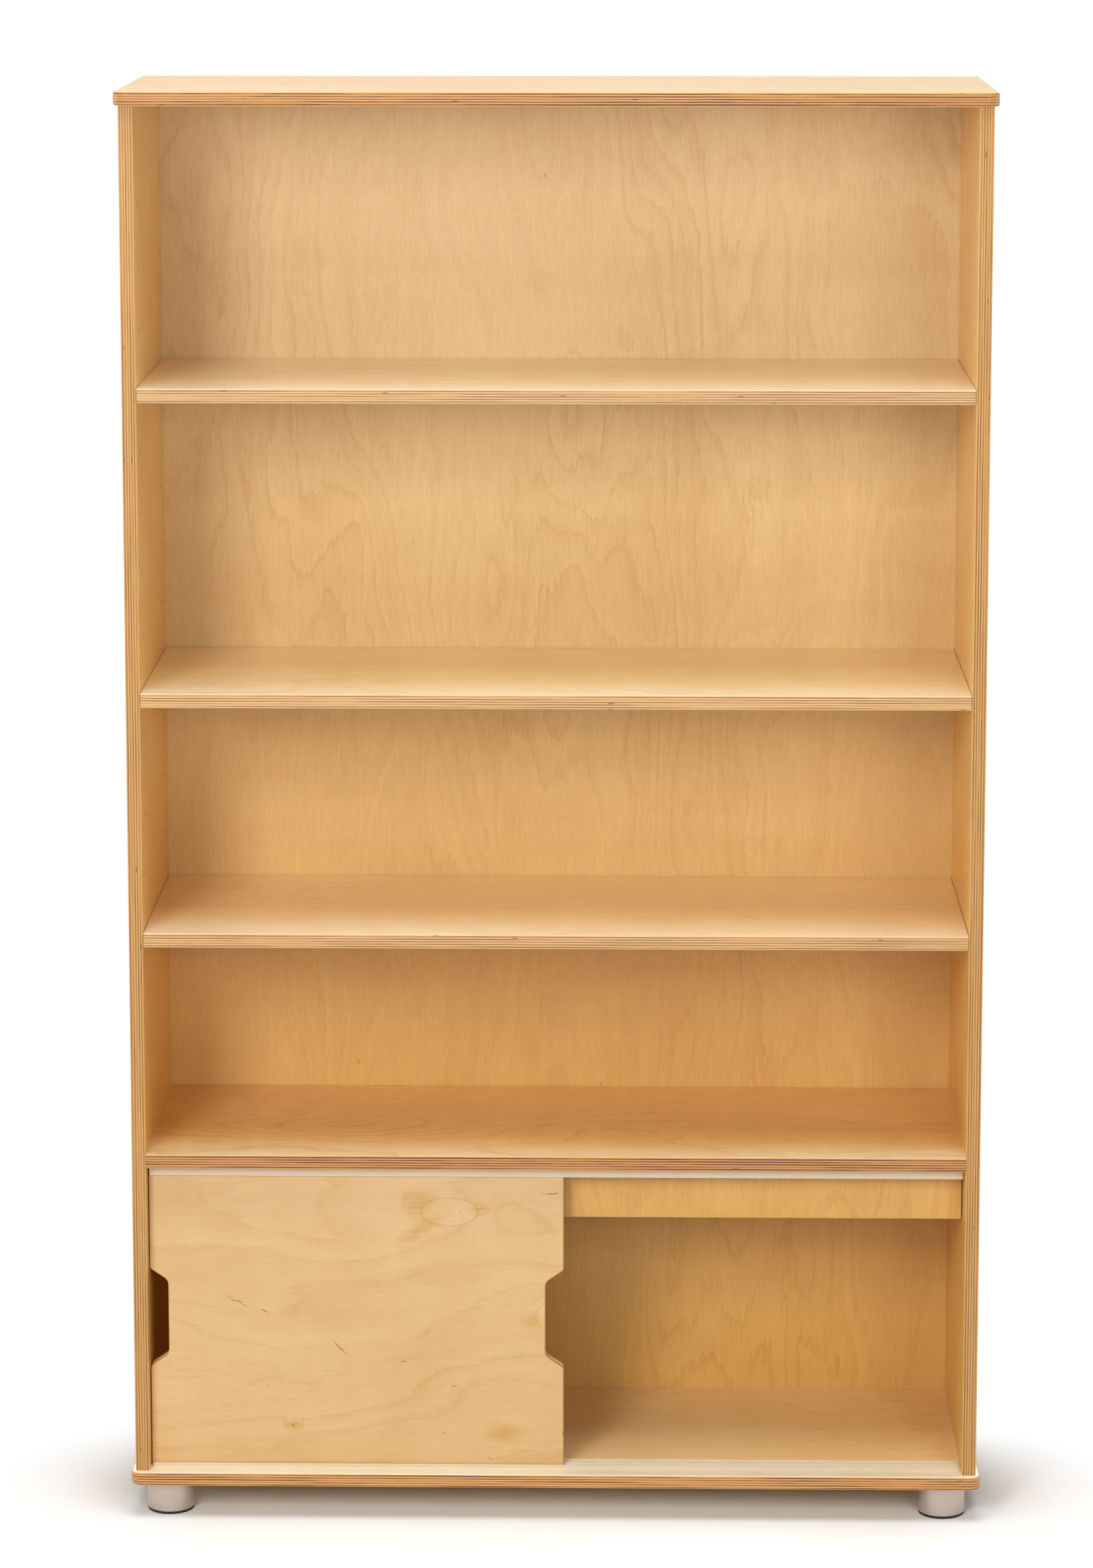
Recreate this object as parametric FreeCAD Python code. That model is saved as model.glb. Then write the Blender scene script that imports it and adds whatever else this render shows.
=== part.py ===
import FreeCAD, Part
import math
import os

# Freestanding plywood bookcase with four open bays over a cupboard with two by-pass sliding doors.
# All sizes are millimetres. X runs to the right, Y to the back and Z up.
# The origin is on the floor, under the middle of the bookcase.

# Boards of the carcass
board_thickness = 15.0
back_thickness = 6.0
inner_width = 867.0
inner_depth = 285.0
side_height = 1455.0
side_overhang = 5.0
front_overhang = 7.0
back_overhang = 5.0
plan_corner_radius = 12.5
board_round = 3.0
side_round = 1.2
shelf_round = 1.0

# Bays
cupboard_height = 333.0
shelf_end_gap = 0.5
shelf_back_gap = 1.0

# Rows of holes for the shelf pins, and how many rows lie below each adjustable shelf's own
hole_rows = 15
lower_shelf_row_count = 2
middle_shelf_row_count = 6
upper_shelf_row_count = 11
hole_pitch = 64.0
hole_setback = 37.0
lowest_hole_rise = 104.5
hole_depth = 9.0
pin_diameter = 5.0
pin_reach = 7.0
pin_clearance = 0.15
slot_clearance = 0.3
slot_end_gap = 0.8
slot_corner_radius = 2.5

# Sliding doors
door_thickness = 6.5
door_play = 0.85
door_side_gap = 1.0
door_overlap = 17.0
door_float = 0.3
door_engagement = 5.5
door_corner_radius = 1.0
door_chamfer = 0.7
notch_mouth = 108.0
notch_reach = 19.5
notch_slant = 34.0
notch_inner_radius = 10.0
notch_outer_radius = 5.0

# Plastic tracks of the doors, with a groove for each door
groove_count = 2
track_setback = 16.0
track_end_gap = 2.0
rib_thickness = 2.0
rib_round = 0.5
lower_track_height = 3.0
lower_track_web = 1.0
upper_track_height = 12.0
upper_track_web = 2.0

# Rail that stiffens the cupboard's ceiling behind the doors
rail_setback = 45.0
rail_height = 64.0
rail_thickness = 15.0
rail_end_gap = 1.5

# Back panel's rebate
rebate_width = 9.0
rebate_clearance = 0.5
back_panel_top_gap = 0.5

# Loose tongues that join the boards, glued into stopped grooves
tongue_thickness = 4.0
tongue_width = 17.0
tongue_stop = 30.0
rail_tongue_stop = 60.0
tongue_clearance = 0.1
tongue_end_gap = 0.5

# Feet
foot_diameter = 50.0
foot_inset = 39.5
foot_height = 34.0
foot_chamfer = 0.6
pad_diameter = 49.0
pad_thickness = 2.5
stud_diameter = 8.0
stud_in_foot = 22.0
stud_in_board = 11.0
stud_clearance = 0.2
stud_end_gap = 0.5

# Places that follow from the sizes above
carcass_width = inner_width + 2 * board_thickness
board_width = carcass_width + 2 * side_overhang
side_depth = inner_depth + back_thickness
board_depth = front_overhang + side_depth + back_overhang
base_z = pad_thickness + foot_height
cupboard_floor_z = base_z + board_thickness
cupboard_ceiling_z = cupboard_floor_z + cupboard_height
top_board_z = cupboard_floor_z + side_height
front_y = -board_depth / 2
side_front_y = front_y + front_overhang
back_panel_y = side_front_y + inner_depth
side_back_y = side_front_y + side_depth
inner_x = inner_width / 2
lowest_hole_z = cupboard_ceiling_z + board_thickness + lowest_hole_rise
hole_radius = pin_diameter / 2 + pin_clearance
slot_height = pin_diameter + 2 * slot_clearance
shelf_depth = inner_depth - shelf_back_gap
groove_width = door_thickness + 2 * door_play
groove_pitch = groove_width + rib_thickness
track_front_y = side_front_y + track_setback
track_length = inner_width - 2 * track_end_gap
door_width = (inner_width - 2 * door_side_gap + door_overlap) / 2
door_bottom_z = cupboard_floor_z + lower_track_web + door_float
door_top_z = cupboard_ceiling_z - upper_track_height + door_engagement
door_height = door_top_z - door_bottom_z
door_travel = inner_width - 2 * door_side_gap - door_width

# Directions, and how close an edge must be to a plane to count as lying in it
along_x = FreeCAD.Vector(1, 0, 0)
along_y = FreeCAD.Vector(0, 1, 0)
along_z = FreeCAD.Vector(0, 0, 1)
origin = FreeCAD.Vector(0, 0, 0)
plane_tolerance = 0.001


# Shared shapes

def outline(corners, place):
    """A closed wire through corners (u, v, radius), each rounded by a tangent arc."""
    count = len(corners)
    stretches = []
    for i in range(count):
        before = FreeCAD.Vector(corners[i - 1][0], corners[i - 1][1], 0)
        corner = FreeCAD.Vector(corners[i][0], corners[i][1], 0)
        after = FreeCAD.Vector(corners[(i + 1) % count][0], corners[(i + 1) % count][1], 0)
        radius = corners[i][2]
        if radius == 0:
            stretches.append((corner, None, corner))
            continue
        back = (before - corner).normalize()
        ahead = (after - corner).normalize()
        half_angle = back.getAngle(ahead) / 2
        tangent = radius / math.tan(half_angle)
        bisector = (back + ahead).normalize()
        middle = corner + bisector * (radius / math.sin(half_angle) - radius)
        stretches.append((corner + back * tangent, middle, corner + ahead * tangent))
    edges = []
    for i in range(count):
        start, middle, end = stretches[i]
        if middle is not None:
            edges.append(Part.Arc(place(start), place(middle), place(end)).toShape())
        next_start = stretches[(i + 1) % count][0]
        if end.distanceToPoint(next_start) > Part.Precision.confusion():
            edges.append(Part.makeLine(place(end), place(next_start)))
    return Part.Wire(edges)


def extruded(corners, place, direction):
    """A solid swept along a straight direction from a rounded outline."""
    return Part.Face(outline(corners, place)).extrude(direction)


def turned(corners):
    """A solid of revolution about Z from a rounded outline of radius and height."""
    face = Part.Face(outline(corners, lambda p: FreeCAD.Vector(p.x, 0, p.y)))
    return face.revolve(origin, along_z, 360)


def rod(radius, start, direction, length):
    """A round bar from a start point along a direction."""
    return Part.makeCylinder(radius, length, start, direction)


def block(x0, x1, y0, y1, z0, z1):
    """A box between two opposite corners."""
    return Part.makeBox(x1 - x0, y1 - y0, z1 - z0, FreeCAD.Vector(x0, y0, z0))


def mirrored(shape):
    """The same shape on the other side of the middle plane."""
    return shape.mirror(origin, along_x)


def round_edges(shape, radius, wanted):
    """Rounds the edges that the test picks."""
    return shape.makeFillet(radius, [edge for edge in shape.Edges if wanted(edge)])


def lies_at(edge, axis, place):
    """Whether a whole edge lies in the plane at a place on an axis."""
    low = getattr(edge.BoundBox, axis + "Min")
    high = getattr(edge.BoundBox, axis + "Max")
    return abs(low - place) < plane_tolerance and abs(high - place) < plane_tolerance


# Joinery that two pieces share

def level_tongues(middle_x, half_x, middle_z, half_z, end_gap):
    """Tongues or grooves that run from front to back, at both side panels."""
    front = side_front_y + tongue_stop - end_gap
    back = side_back_y - tongue_stop + end_gap
    right = block(middle_x - half_x, middle_x + half_x, front, back, middle_z - half_z, middle_z + half_z)
    return [right, mirrored(right)]


def board_tongues(joint_z, clearance, end_gap):
    """Tongues or grooves where the side panels meet the top or base board."""
    half_thickness = tongue_thickness / 2 + clearance
    half_width = tongue_width / 2 + end_gap
    return level_tongues(inner_x + board_thickness / 2, half_thickness, joint_z, half_width, end_gap)


def ceiling_tongues(clearance, end_gap):
    """Tongues or grooves where the cupboard's ceiling meets the side panels."""
    half_thickness = tongue_thickness / 2 + clearance
    half_width = tongue_width / 2 + end_gap
    middle_z = cupboard_ceiling_z + board_thickness / 2
    return level_tongues(inner_x, half_width, middle_z, half_thickness, end_gap)


def rail_tongue(clearance, end_gap):
    """The tongue or groove between the rail and the cupboard's ceiling."""
    half_thickness = tongue_thickness / 2 + clearance
    half_width = tongue_width / 2 + end_gap
    half_length = inner_x - rail_tongue_stop + end_gap
    middle_y = side_front_y + rail_setback + rail_thickness / 2
    return block(-half_length, half_length, middle_y - half_thickness, middle_y + half_thickness,
                 cupboard_ceiling_z - half_width, cupboard_ceiling_z + half_width)


def pin_zs():
    """Heights of the rows of shelf-pin holes."""
    return [lowest_hole_z + row * hole_pitch for row in range(hole_rows)]


def pin_ys():
    """Places of the front and back columns of shelf-pin holes."""
    return (side_front_y + hole_setback, back_panel_y - hole_setback)


def shelf_middle_z(row):
    """Middle of a shelf that hangs by its end slots on the pins of a row."""
    return lowest_hole_z + row * hole_pitch + pin_diameter / 2 - slot_height / 2


def shelf_rows():
    """The row of pins of each adjustable shelf, by the shelf's place."""
    return {
        "lower": lower_shelf_row_count,
        "middle": middle_shelf_row_count,
        "upper": upper_shelf_row_count,
    }


def foot_places():
    """Names and centres of the four feet."""
    x = board_width / 2 - foot_inset
    y = board_depth / 2 - foot_inset
    return {
        "front_left": FreeCAD.Vector(-x, -y, 0),
        "front_right": FreeCAD.Vector(x, -y, 0),
        "back_left": FreeCAD.Vector(-x, y, 0),
        "back_right": FreeCAD.Vector(x, y, 0),
    }


# Boards

def flat_board(bottom_z):
    """A level board with rounded plan corners and rounded edges all round."""
    half_x = board_width / 2
    half_y = board_depth / 2
    corners = [
        (-half_x, -half_y, plan_corner_radius),
        (half_x, -half_y, plan_corner_radius),
        (half_x, half_y, plan_corner_radius),
        (-half_x, half_y, plan_corner_radius),
    ]
    lift = FreeCAD.Vector(0, 0, bottom_z)
    board = extruded(corners, lambda p: p + lift, along_z * board_thickness)
    top_z = bottom_z + board_thickness
    on_rim = lambda edge: lies_at(edge, "Z", bottom_z) or lies_at(edge, "Z", top_z)
    return round_edges(board, board_round, on_rim)


def top_board():
    """Top board, with a stopped groove for each side panel's tongue."""
    return flat_board(top_board_z).cut(board_tongues(top_board_z, tongue_clearance, tongue_end_gap))


def base_board():
    """Base board, with the side panels' grooves above and the studs' holes below."""
    cuts = board_tongues(cupboard_floor_z, tongue_clearance, tongue_end_gap)
    for place in foot_places().values():
        depth = stud_in_board + stud_end_gap
        cuts.append(rod(stud_diameter / 2 + stud_clearance, place + along_z * base_z, along_z, depth))
    return flat_board(base_z).cut(cuts)


def left_side_panel():
    """Left side panel, with its rebate for the back and its rows of shelf-pin holes."""
    outer_x = -inner_x - board_thickness
    corners = [
        (outer_x, side_front_y, side_round),
        (-inner_x, side_front_y, side_round),
        (-inner_x, back_panel_y, 0),
        (-inner_x - rebate_width, back_panel_y, 0),
        (-inner_x - rebate_width, side_back_y, 0),
        (outer_x, side_back_y, 0),
    ]
    lift = FreeCAD.Vector(0, 0, cupboard_floor_z)
    panel = extruded(corners, lambda p: p + lift, along_z * side_height)
    cuts = []
    for z in pin_zs():
        for y in pin_ys():
            cuts.append(rod(hole_radius, FreeCAD.Vector(-inner_x, y, z), -along_x, hole_depth))
    cuts += board_tongues(top_board_z, tongue_clearance, tongue_end_gap)
    cuts += board_tongues(cupboard_floor_z, tongue_clearance, tongue_end_gap)
    cuts += ceiling_tongues(tongue_clearance, tongue_end_gap)
    return panel.cut(cuts)


def shelf_board(width, middle_z):
    """A level shelf whose front edge is flush with the side panels."""
    half = board_thickness / 2
    corners = [
        (side_front_y, middle_z - half, shelf_round),
        (side_front_y + shelf_depth, middle_z - half, 0),
        (side_front_y + shelf_depth, middle_z + half, 0),
        (side_front_y, middle_z + half, shelf_round),
    ]
    return extruded(corners, lambda p: FreeCAD.Vector(-width / 2, p.x, p.y), along_x * width)


def loose_shelf(row):
    """An adjustable shelf with a stopped slot in each end that slides over its pins."""
    width = inner_width - 2 * shelf_end_gap
    middle_z = shelf_middle_z(row)
    half = slot_height / 2
    slot_depth = pin_reach + slot_end_gap
    slot_front_y = side_front_y + hole_setback - half
    slot_back_y = side_front_y + shelf_depth
    corners = [
        (slot_front_y, middle_z - half, slot_corner_radius),
        (slot_back_y, middle_z - half, 0),
        (slot_back_y, middle_z + half, 0),
        (slot_front_y, middle_z + half, slot_corner_radius),
    ]
    start_x = width / 2 - slot_depth
    slot = extruded(corners, lambda p: FreeCAD.Vector(start_x, p.x, p.y), along_x * slot_depth)
    return shelf_board(width, middle_z).cut([slot, mirrored(slot)])


def shelf_pins(row):
    """The four steel pins that carry one adjustable shelf."""
    z = lowest_hole_z + row * hole_pitch
    length = hole_depth - pin_clearance + pin_reach
    pins = []
    for y in pin_ys():
        start = FreeCAD.Vector(inner_x - pin_reach, y, z)
        pin = rod(pin_diameter / 2, start, along_x, length)
        pins.append(pin)
        pins.append(mirrored(pin))
    return Part.Compound(pins)


def cupboard_ceiling():
    """The fixed shelf over the cupboard, tongued to the side panels and to the rail."""
    board = shelf_board(inner_width, cupboard_ceiling_z + board_thickness / 2)
    grooves = ceiling_tongues(tongue_clearance, tongue_end_gap)
    return board.cut(grooves + [rail_tongue(tongue_clearance, tongue_end_gap)])


def cupboard_rail():
    """Stiffening rail on edge under the cupboard's ceiling, clear of the side panels."""
    rail_length = inner_width - 2 * rail_end_gap
    y = side_front_y + rail_setback
    corners = [
        (y, cupboard_ceiling_z, 0),
        (y, cupboard_ceiling_z - rail_height, shelf_round),
        (y + rail_thickness, cupboard_ceiling_z - rail_height, shelf_round),
        (y + rail_thickness, cupboard_ceiling_z, 0),
    ]
    rail = extruded(corners, lambda p: FreeCAD.Vector(-rail_length / 2, p.x, p.y), along_x * rail_length)
    return rail.cut(rail_tongue(tongue_clearance, tongue_end_gap))


def back_panel():
    """Thin back panel that lies in the side panels' rebates."""
    half_width = inner_x + rebate_width - rebate_clearance
    return block(-half_width, half_width, back_panel_y, side_back_y,
                 cupboard_floor_z, top_board_z - back_panel_top_gap)


# Sliding doors and their tracks

def track_corners(height, web):
    """Section of a track, lying on its web with a rounded rib on each side of every groove."""
    width = groove_count * groove_pitch + rib_thickness
    corners = [(0, 0, 0), (width, 0, 0)]
    for rib in reversed(range(groove_count + 1)):
        rib_y = rib * groove_pitch
        corners.append((rib_y + rib_thickness, height, rib_round))
        corners.append((rib_y, height, rib_round))
        if rib > 0:
            corners.append((rib_y, web, rib_round))
            corners.append((rib_y - groove_width, web, rib_round))
    return corners


def lower_track():
    """Low track on the base board that the doors stand in."""
    place = lambda p: FreeCAD.Vector(-track_length / 2, track_front_y + p.x, cupboard_floor_z + p.y)
    return extruded(track_corners(lower_track_height, lower_track_web), place, along_x * track_length)


def upper_track():
    """Deep track under the cupboard's ceiling, so that a door can be lifted clear of the lower one."""
    place = lambda p: FreeCAD.Vector(-track_length / 2, track_front_y + p.x, cupboard_ceiling_z - p.y)
    return extruded(track_corners(upper_track_height, upper_track_web), place, along_x * track_length)


def door(groove):
    """A sliding door with a finger notch in each upright edge, in the front or back groove."""
    middle = door_height / 2
    outer = notch_mouth / 2
    inner = outer - notch_reach * math.tan(math.radians(notch_slant))
    corners = [
        (0, 0, door_corner_radius),
        (door_width, 0, door_corner_radius),
        (door_width, middle - outer, notch_outer_radius),
        (door_width - notch_reach, middle - inner, notch_inner_radius),
        (door_width - notch_reach, middle + inner, notch_inner_radius),
        (door_width, middle + outer, notch_outer_radius),
        (door_width, door_height, door_corner_radius),
        (0, door_height, door_corner_radius),
        (0, middle + outer, notch_outer_radius),
        (notch_reach, middle + inner, notch_inner_radius),
        (notch_reach, middle - inner, notch_inner_radius),
        (0, middle - outer, notch_outer_radius),
    ]
    left_x = -inner_x + door_side_gap
    face_y = track_front_y + rib_thickness + door_play + groove * groove_pitch
    place = lambda p: FreeCAD.Vector(left_x + p.x, face_y, door_bottom_z + p.y)
    panel = extruded(corners, place, along_y * door_thickness)
    on_face = lambda edge: lies_at(edge, "Y", face_y) or lies_at(edge, "Y", face_y + door_thickness)
    return panel.makeChamfer(door_chamfer, [edge for edge in panel.Edges if on_face(edge)])


# Feet

def foot():
    """Round metal foot with a blind hole above for its stud."""
    outer = foot_diameter / 2
    hole = stud_diameter / 2 + stud_clearance
    hole_z = base_z - stud_in_foot - stud_end_gap
    corners = [
        (0, pad_thickness, 0),
        (outer - foot_chamfer, pad_thickness, 0),
        (outer, pad_thickness + foot_chamfer, 0),
        (outer, base_z - foot_chamfer, 0),
        (outer - foot_chamfer, base_z, 0),
        (hole, base_z, 0),
        (hole, hole_z, 0),
        (0, hole_z, 0),
    ]
    return turned(corners)


def foot_pad():
    """Soft pad glued under a foot."""
    return rod(pad_diameter / 2, origin, along_z, pad_thickness)


def foot_stud():
    """Stud that holds a foot up against the base board."""
    return rod(stud_diameter / 2, along_z * (base_z - stud_in_foot), along_z, stud_in_foot + stud_in_board)


def at_feet(shape):
    """The same shape at each of the four feet, by the foot's name."""
    copies = {}
    for name, place in foot_places().items():
        copy = shape.copy()
        copy.translate(place)
        copies[name] = copy
    return copies


def all_pieces():
    """Every piece of the bookcase by its name."""
    left = left_side_panel()
    pieces = {
        "top_board": top_board(),
        "base_board": base_board(),
        "left_side_panel": left,
        "right_side_panel": mirrored(left),
        "cupboard_ceiling": cupboard_ceiling(),
        "cupboard_rail": cupboard_rail(),
        "back_panel": back_panel(),
        "lower_track": lower_track(),
        "upper_track": upper_track(),
        "front_door": door(0),
        "rear_door": door(1),
    }
    for place, row in shelf_rows().items():
        pieces[place + "_shelf"] = loose_shelf(row)
        pieces[place + "_shelf_pins"] = shelf_pins(row)
    pieces["top_tongues"] = Part.Compound(board_tongues(top_board_z, 0, 0))
    pieces["base_tongues"] = Part.Compound(board_tongues(cupboard_floor_z, 0, 0))
    pieces["ceiling_tongues"] = Part.Compound(ceiling_tongues(0, 0))
    pieces["rail_tongue"] = rail_tongue(0, 0)
    for name, shape in at_feet(foot()).items():
        pieces["foot_" + name] = shape
    for name, pad in at_feet(foot_pad()).items():
        pieces["foot_pad_" + name] = pad
    pieces["foot_studs"] = Part.Compound(list(at_feet(foot_stud()).values()))
    return pieces


os.makedirs("parts", exist_ok=True)
for name, shape in all_pieces().items():
    shape.exportStep(os.path.join("parts", name + ".step"))
    print(name, "solids", len(shape.Solids), "valid", shape.isValid(), "volume", round(shape.Volume))
print("door travel", round(door_travel, 1), "door width", round(door_width, 1),
      "door height", round(door_height, 1), "height", top_board_z + board_thickness)
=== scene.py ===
import logging
import math
from dataclasses import dataclass, field
from enum import Enum

import bpy
from mathutils import Matrix, Vector


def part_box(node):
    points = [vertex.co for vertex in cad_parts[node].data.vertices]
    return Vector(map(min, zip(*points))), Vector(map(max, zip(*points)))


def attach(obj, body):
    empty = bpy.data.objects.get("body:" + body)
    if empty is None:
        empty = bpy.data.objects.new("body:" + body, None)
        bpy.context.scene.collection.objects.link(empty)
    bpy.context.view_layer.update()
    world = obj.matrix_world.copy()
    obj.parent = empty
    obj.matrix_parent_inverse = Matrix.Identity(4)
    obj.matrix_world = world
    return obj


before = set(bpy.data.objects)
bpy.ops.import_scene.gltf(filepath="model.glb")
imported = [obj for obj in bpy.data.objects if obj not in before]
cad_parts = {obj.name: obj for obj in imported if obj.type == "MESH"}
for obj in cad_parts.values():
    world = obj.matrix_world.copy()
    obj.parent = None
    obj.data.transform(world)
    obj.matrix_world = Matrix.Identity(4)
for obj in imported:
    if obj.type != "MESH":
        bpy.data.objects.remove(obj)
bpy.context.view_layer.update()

# The look of a birch plywood bookcase with sliding doors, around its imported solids.
# Lengths are metres. X runs to the right, Y to the back and Z up.

log = logging.getLogger("bookcase")

Socket = bpy.types.NodeSocket
Value = float | tuple[float, ...] | Socket
Inputs = dict[str | int, Value]
Owner = bpy.types.Material | bpy.types.World
Triple = tuple[float, float, float]
Colour = tuple[float, float, float]

MM = 0.001
WHITE = (1.0, 1.0, 1.0, 1.0)

# Each board's own pattern of the veneer and the plies.
PATTERNS: dict[str, float] = {
    "top_board": 11.3, "base_board": 23.9, "cupboard_ceiling": 37.1, "left_side_panel": 5.2,
    "right_side_panel": 8.4, "back_panel": 51.7, "cupboard_rail": 61.4, "loose_tongues": 2.0,
    "upper_shelf": 71.2, "middle_shelf": 83.5, "lower_shelf": 97.8, "front_door": 43.6, "rear_door": 47.1}


def tone(red: int, green: int, blue: int) -> Colour:
    """Turns a colour as it looks on a screen into the renderer's linear values.

    Args:
        red: The red level, from 0 to 255.
        green: The green level.
        blue: The blue level.

    Returns:
        The linear colour.
    """
    def linear(level: int) -> float:
        """One level through the screen's standard curve, which is straight in its darkest part."""
        share = level / 255
        return share / 12.92 if share <= 0.04045 else ((share + 0.055) / 1.055) ** 2.4
    return linear(red), linear(green), linear(blue)


class Axis(Enum):
    """A direction of the bookcase."""

    ACROSS = 0
    DEPTH = 1
    UP = 2


@dataclass(frozen=True)
class Ramp:
    """A smooth change of a value: start up to low, end from high on."""

    low: float
    high: float
    start: float = 0.0
    end: float = 1.0


@dataclass(frozen=True)
class Streaks:
    """Noise drawn out along the grain.

    The counts along and across are features to a metre, shift picks another pattern of the same board,
    detail and roughness are for its finer layers, and strength is how far it moves what it is added to.
    """

    along: float
    across: float
    shift: float = 0.0
    detail: float = 2.0
    roughness: float = 0.5
    strength: float = 1.0


@dataclass(frozen=True)
class RingShade:
    """How a growth ring darkens towards its outer side: with a power, up to a short fade."""

    power: float
    fade: Ramp


class Bench:
    """A shader on the bench: short ways to add nodes to a material or world and to wire them."""

    def __init__(self, owner: Owner) -> None:
        """Takes up a material or world and empties its shader.

        Args:
            owner: The material or world.
        """
        owner.use_nodes = True
        self.owner = owner
        self.tree = owner.node_tree
        self.tree.nodes.clear()

    def feed(self, socket: Socket, value: Value) -> None:
        """Wires another node's output into a socket, or sets the socket's own value.

        Args:
            socket: The input that is fed.
            value: The output that feeds it, or its own value.
        """
        if isinstance(value, bpy.types.NodeSocket):
            self.tree.links.new(value, socket)
        else:
            socket.default_value = value

    def node(self, kind: str, inputs: Inputs | None = None, **settings: object) -> bpy.types.Node:
        """Adds a shader node.

        Args:
            kind: The node's type without the word ShaderNode.
            inputs: Values or sockets for the node's inputs, by name or number.
            settings: Properties of the node.

        Returns:
            The new node.
        """
        made = self.tree.nodes.new("ShaderNode" + kind)
        for key, setting in settings.items():
            setattr(made, key, setting)
        for key, value in (inputs or {}).items():
            self.feed(made.inputs[key], value)
        return made

    def math(self, operation: str, first: Value, second: Value = 0.0, third: Value = 0.0) -> Socket:
        """The result of a sum on up to three values.

        Args:
            operation: Blender's name of the operation.
            first: Its first value.
            second: Its second value, where it takes one.
            third: Its third value, where it takes one.

        Returns:
            The socket of the result.
        """
        return self.node("Math", {0: first, 1: second, 2: third}, operation=operation).outputs[0]

    def scaled(self, place: Value, scale: Triple, shift: Triple = (0.0, 0.0, 0.0)) -> Socket:
        """A place stretched along the three axes, and then shifted."""
        inputs = {0: place, 1: scale, 2: shift}
        return self.node("VectorMath", inputs, operation="MULTIPLY_ADD").outputs[0]

    def span(self, value: Value, ramp: Ramp) -> Socket:
        """Runs a value through a ramp."""
        inputs = {0: value, 1: ramp.low, 2: ramp.high, 3: ramp.start, 4: ramp.end}
        return self.node("MapRange", inputs, interpolation_type="SMOOTHSTEP").outputs[0]

    def blend(self, share: Value, first: Value, second: Value, how: str = "MIX") -> Socket:
        """Mixes two colours.

        Args:
            share: How much of the second colour shows.
            first: The first colour.
            second: The second colour.
            how: Blender's name of the way to mix.

        Returns:
            The socket of the mixed colour.
        """
        made = self.node("Mix", {0: share}, data_type="RGBA", blend_type=how)
        for number, value in ((6, first), (7, second)):
            self.feed(made.inputs[number], (*value, 1.0) if isinstance(value, tuple) else value)
        return made.outputs[2]

    def here(self) -> Socket:
        """The place on the object."""
        return self.node("TexCoord").outputs["Object"]

    def parts(self, place: Socket) -> list[Socket]:
        """The three values of a place or direction."""
        return list(self.node("SeparateXYZ", {0: place}).outputs)

    def place(self, along: Value, across: Value, through: Value = 0.0) -> Socket:
        """A point made of three values."""
        return self.node("CombineXYZ", {0: along, 1: across, 2: through}).outputs[0]

    def noise(self, place: Value, scale: float = 1.0, detail: float = 2.0, roughness: float = 0.5) -> Socket:
        """Soft noise from 0 to 1 at a place.

        Args:
            place: Where it is read.
            scale: How fast it changes.
            detail: How many finer layers it has.
            roughness: How strong the finer layers are.

        Returns:
            The socket of the noise.
        """
        inputs = {"Vector": place, "Scale": scale, "Detail": detail, "Roughness": roughness}
        return self.node("TexNoise", inputs).outputs[0]

    def drawn(self, along: Value, across: Value, streaks: Streaks, seed: float) -> Socket:
        """Noise that is drawn out along the grain.

        Args:
            along: Place along the grain.
            across: Place across the grain.
            streaks: What the noise is like.
            seed: The board's own pattern.

        Returns:
            The socket of the noise.
        """
        run = self.math("MULTIPLY", along, streaks.along)
        rise = self.math("MULTIPLY", across, streaks.across)
        place = self.place(run, rise, seed + streaks.shift)
        return self.noise(place, detail=streaks.detail, roughness=streaks.roughness)

    def add_swing(self, total: Value, noise: Socket, strength: float) -> Socket:
        """Adds a noise's swing about its middle to a total."""
        return self.math("MULTIPLY_ADD", self.math("SUBTRACT", noise, 0.5), strength, total)

    def cells(self, place: Socket, randomness: float) -> tuple[Socket, Socket]:
        """Scattered cells, each with a chance of its own.

        Args:
            place: Where they are read.
            randomness: How far their middles stray from an even grid.

        Returns:
            The sockets of the distance from a cell's middle and of its chance, from 0 to 1.
        """
        made = self.node("TexVoronoi", {"Vector": place, "Scale": 1.0, "Randomness": randomness})
        chance = self.node("SeparateColor", {0: made.outputs["Color"]}).outputs[0]
        return made.outputs["Distance"], chance

    def ring_shade(self, ring: Socket, shade: RingShade) -> Socket:
        """How dark a growth ring is at a share of its width."""
        return self.math("MULTIPLY", self.math("POWER", ring, shade.power), self.span(ring, shade.fade))

    def relief(self, height: Socket, strength: float, depth: float) -> Socket:
        """The tilt that a fine relief gives the surface."""
        return self.node("Bump", {"Strength": strength, "Distance": depth, "Height": height}).outputs[0]

    def seen_directly(self) -> Socket:
        """Tells what the camera sees, also through gloss or glass, from the light that falls on things.

        Returns:
            The socket of a value that is 1 for what is seen and 0 for the light.
        """
        path = self.node("LightPath").outputs
        seen = self.math("MAXIMUM", path["Is Camera Ray"], path["Is Glossy Ray"])
        return self.math("MAXIMUM", seen, path["Is Transmission Ray"])

    def finish(self, shader: bpy.types.Node, out: str = "OutputMaterial") -> Owner:
        """Wires the last shader to the output.

        Args:
            shader: The node whose first output is the surface.
            out: The type of the output node.

        Returns:
            The finished material or world.
        """
        self.tree.links.new(shader.outputs[0], self.node(out).inputs[0])
        return self.owner


@dataclass(frozen=True)
class Knot:
    """A small knot or eye in a veneer, with its core, its stain and the growth lines round it."""

    along: float
    across: float
    length: float
    width: float
    lean: float = 0.0
    core: float = 0.0
    stain: float = 0.0
    lines: float = 0.0
    reach: float = 3.0


@dataclass(frozen=True)
class Patch:
    """An oval repair patch let into a veneer over a knot."""

    along: float
    across: float
    length: float
    width: float
    lean: float = 0.0
    lines: float = 1.3
    reach: float = 2.4


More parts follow.
